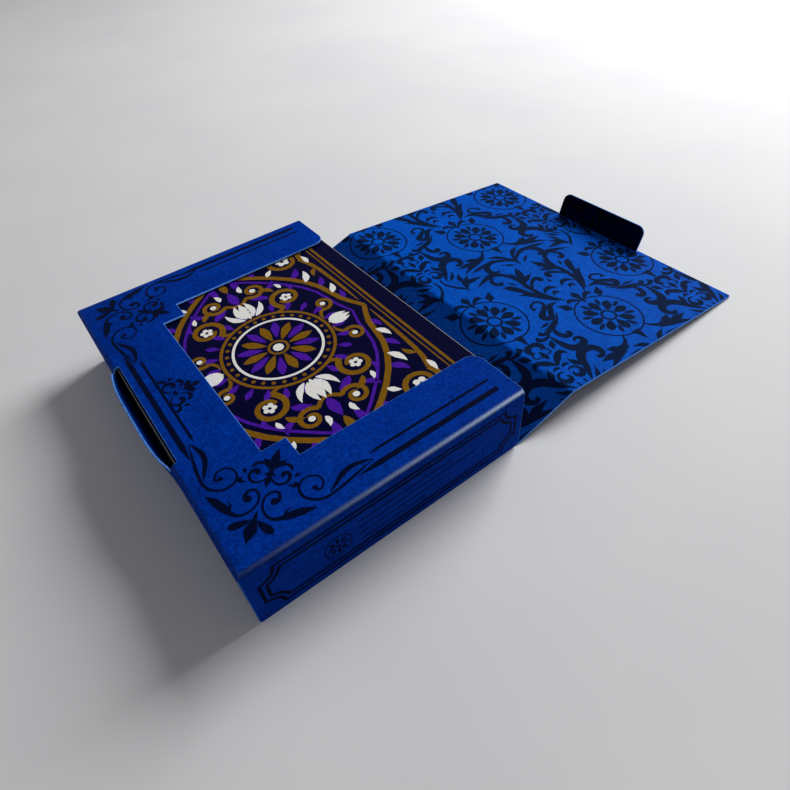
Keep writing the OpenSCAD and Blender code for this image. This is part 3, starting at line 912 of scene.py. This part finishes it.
for number, (art, lift) in enumerate(zip((violet_art, gold_art, white_art), INK_LIFTS)):
    for face in art.faces:
        face.material_index = number
    add_copy(back, art, Matrix.Translation((CARD_X, 0, CARD_Z + CARD_T + lift)))
    art.free()
facing(back, Vector((0, 0, 1)))

# Card faces: suit pips in their usual rows on the white side, with the rank and a small pip in two corners.
# Court cards have a large letter in a ruled frame, and the jokers a star. Red and black inks.
FACE_LIFT = 0.0003
PIPS = {
    "hearts": ([[(0, 0.4, 0.5), (0, 0.1, 0.86), (0, -1, 0.02)]], [(-0.47, 0.38, 0.5), (0.47, 0.38, 0.5)]),
    "clubs": ([[(0, 0.4, 0.25), (0, -0.1, 0.28), (0, -0.45, 0.1), (0, -1, 0.4)]],
              [(0, 0.5, 0.42), (-0.5, -0.2, 0.42), (0.5, -0.2, 0.42)]),
    "diamonds": ([[(0, 1, 0.02), (0, 0, 0.72), (0, -1, 0.02)]], []),
    "spades": ([[(0, 1, 0.02), (0, 0, 0.86), (0, -0.3, 0.5)], [(0, -0.45, 0.08), (0, -1, 0.4)]],
               [(-0.47, -0.28, 0.5), (0.47, -0.28, 0.5)]),
    "jokers": (petals(5, 90, 0.05, 1, 0.3), [(0, 0, 0.35)]),
}
PAIR, SIDES = [(-12, 30), (12, 30)], [(-12, 0), (12, 0)]
LADDER = PAIR + [(-12, 10), (12, 10)]
MIDDLE = [(0, 0)]
TURNED_PIPS = {"two": [(0, 30)], "three": [(0, 30)], "four": PAIR, "five": PAIR, "six": PAIR,
               "seven": PAIR, "eight": PAIR + [(0, 15)], "nine": LADDER, "ten": LADDER + [(0, 20)]}
UPRIGHT_PIPS = {"ace": MIDDLE, "three": MIDDLE, "five": MIDDLE, "six": SIDES, "seven": SIDES + [(0, 15)],
                "eight": SIDES, "nine": MIDDLE}
INDEX_X, INDEX_Y, INDEX_PIP_Y, INDEX_SIZE, LETTER_SIZE = -26.4, 37.0, 29.8, 7.6, 40.0
PIP_SIZE, ACE_SIZE, INDEX_PIP_SIZE, COURT_PIP_SIZE, STAR_SIZE = 5.0, 9.0, 2.2, 4.0, 15.0
COURT_FRAME, COURT_PIP = (20.0, 34.0, 0.5), (-14.6, 27.6)


def lettered(label, size):
    """A rank in plain type, centred on the middle."""
    words = bpy.data.curves.new("rank", "FONT")
    words.body, words.size, words.resolution_u = label, size, 3
    words.align_x, words.align_y = "CENTER", "CENTER"
    return flattened(bpy.data.objects.new("rank", words))


def sized(x, y, size):
    """A place on the card face for artwork drawn about one millimetre in radius."""
    return Matrix.Translation((x, y, 0)) @ Matrix.Diagonal((size, size, 1, 1))


pips = {suit: drawn(*marks, straight=True, levels=1, dot_sides=12) for suit, marks in PIPS.items()}
labels = dict(zip(ranks, "A 2 3 4 5 6 7 8 9 10 J Q K".split()))
indices = {rank: lettered(label, INDEX_SIZE) for rank, label in labels.items()}
letters = {rank: lettered(labels[rank], LETTER_SIZE) for rank in ("jack", "queen", "king")}
half_turn = Matrix.Rotation(math.pi, 4, "Z")


def face_art(rank, suit):
    """All the marks on one card's face: those in the upper half come again upside down in the lower half."""
    pip, half = pips[suit], bmesh.new()
    add_copy(half, pip, sized(INDEX_X, INDEX_PIP_Y, INDEX_PIP_SIZE))
    if rank in indices:
        add_copy(half, indices[rank], Matrix.Translation((INDEX_X, INDEX_Y, 0)))
    for x, y in TURNED_PIPS.get(rank, []):
        add_copy(half, pip, sized(x, y, PIP_SIZE))
    if rank in letters:
        add_copy(half, pip, sized(*COURT_PIP, COURT_PIP_SIZE))
    face = half.copy()
    add_copy(face, half, half_turn)
    half.free()
    for x, y in UPRIGHT_PIPS.get(rank, []):
        add_copy(face, pip, sized(x, y, ACE_SIZE if rank == "ace" else PIP_SIZE))
    if rank in letters:
        add_copy(face, letters[rank])
        face = joined(face, ruled_frame(*COURT_FRAME))
    if suit == "jokers":
        add_copy(face, pip, sized(0, 0, STAR_SIZE))
    facing(face, Vector((0, 0, 1)))
    return face


red_ink = printing_ink("red card ink", srgb(172, 12, 22), srgb(196, 24, 34), 0.5)
black_ink = printing_ink("black card ink", srgb(8, 8, 12), srgb(22, 22, 26), 0.5)
face_down = Matrix.Rotation(math.pi, 4, "Y")
for count, card in enumerate(cards):
    rank, _, suit = card.partition("_of_")
    face = face_art(rank, suit or "jokers")
    for mark in face.faces:
        mark.material_index = len(card_inks)
    card_art = back.copy()
    add_copy(card_art, face, Matrix.Translation((CARD_X, 0, CARD_Z - FACE_LIFT)) @ face_down)
    face.free()
    bmesh.ops.translate(card_art, vec=(0, 0, CARD_PITCH * count), verts=card_art.verts)
    face_ink = red_ink if suit in ("hearts", "diamonds") or card == "joker_red" else black_ink
    print_piece = new_piece(f"{card}_print", card_art, card_inks + [face_ink])
    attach(print_piece, card)
for spare in (back, *pips.values(), *indices.values(), *letters.values()):
    spare.free()

# Studio: a pale matt table top, a soft key from the right and behind, and an even white surround.
# The camera stands where the photograph was taken from, close by and a little tilted.
FLOOR_HALF, FLOOR_DROP, FLOOR_GLOSS, SURROUND_LIGHT = 2000.0, 0.02, 0.15, 0.17
floor = bmesh.new()
bmesh.ops.create_grid(floor, x_segments=1, y_segments=1, size=FLOOR_HALF)
bmesh.ops.translate(floor, vec=(0, 0, -FLOOR_DROP), verts=floor.verts)
table_top, shader, place = new_surface("table top", 0.75)
pale_grey = grain_of(place, 60.0, 4.0).mixed(srgb(214, 215, 217), srgb(230, 230, 231))
place.feed(shader.inputs["Base Color"], pale_grey)
shader.inputs["Specular IOR Level"].default_value = FLOOR_GLOSS
floor_piece = new_piece("floor", floor, [table_top])

world = bpy.data.worlds.new("surround")
world.use_nodes = True
tree = world.node_tree
sky = tree.nodes["Background"]
rays = tree.nodes.new("ShaderNodeLightPath").outputs
seen = Dye(rays["Is Camera Ray"])
for kind in ("Is Glossy Ray", "Is Transmission Ray"):
    seen = seen.maths("MAXIMUM", seen, Dye(rays[kind]))
sky.inputs["Color"].default_value = (1, 1, 1, 1)
seen.feed(sky.inputs["Strength"], seen * (1 - SURROUND_LIGHT) + SURROUND_LIGHT)
bpy.context.scene.world = world


def soft_lamp(name, place_mm, aim_mm, size_mm, watts):
    """A square studio lamp at one point, turned towards another."""
    lamp = bpy.data.lights.new(name, "AREA")
    lamp.shape, lamp.size, lamp.energy = "SQUARE", size_mm / 1000, watts
    lamp_object = bpy.data.objects.new(name, lamp)
    turn = (Vector(aim_mm) - Vector(place_mm)).to_track_quat("-Z", "Y").to_matrix().to_4x4()
    lamp_object.matrix_world = Matrix.Translation(Vector(place_mm) / 1000) @ turn
    bpy.context.collection.objects.link(lamp_object)


soft_lamp("key", (700, 120, 470), (40, 0, 10), 450, 7.8)
soft_lamp("fill", (-150, -380, 460), (20, 0, 0), 500, 0.12)

FOCAL_PX, PHOTO_PX, SENSOR = 578.288, 790.0, 36.0
AZIMUTH, ELEVATION, ROLL = map(math.radians, (-33.188, 46.147, 5.09))
STAND = Vector((-33.363, -98.355, 102.51))
flat = math.cos(ELEVATION)
forward = Vector((-math.sin(AZIMUTH) * flat, math.cos(AZIMUTH) * flat, -math.sin(ELEVATION)))
sideways = forward.cross(Vector((0, 0, 1))).normalized()
steep = forward.cross(sideways)
right = math.cos(ROLL) * sideways + math.sin(ROLL) * steep
down = math.cos(ROLL) * steep - math.sin(ROLL) * sideways
lens = bpy.data.cameras.new("camera")
lens.sensor_width, lens.lens = SENSOR, FOCAL_PX / PHOTO_PX * SENSOR
lens.clip_start, lens.clip_end = 0.005, 20
camera = bpy.data.objects.new("camera", lens)
turn = Matrix((right, -down, -forward)).transposed().to_4x4()
camera.matrix_world = Matrix.Translation(STAND / 1000) @ turn
bpy.context.collection.objects.link(camera)
bpy.context.scene.camera = camera
bpy.context.scene.view_settings.view_transform = "Standard"
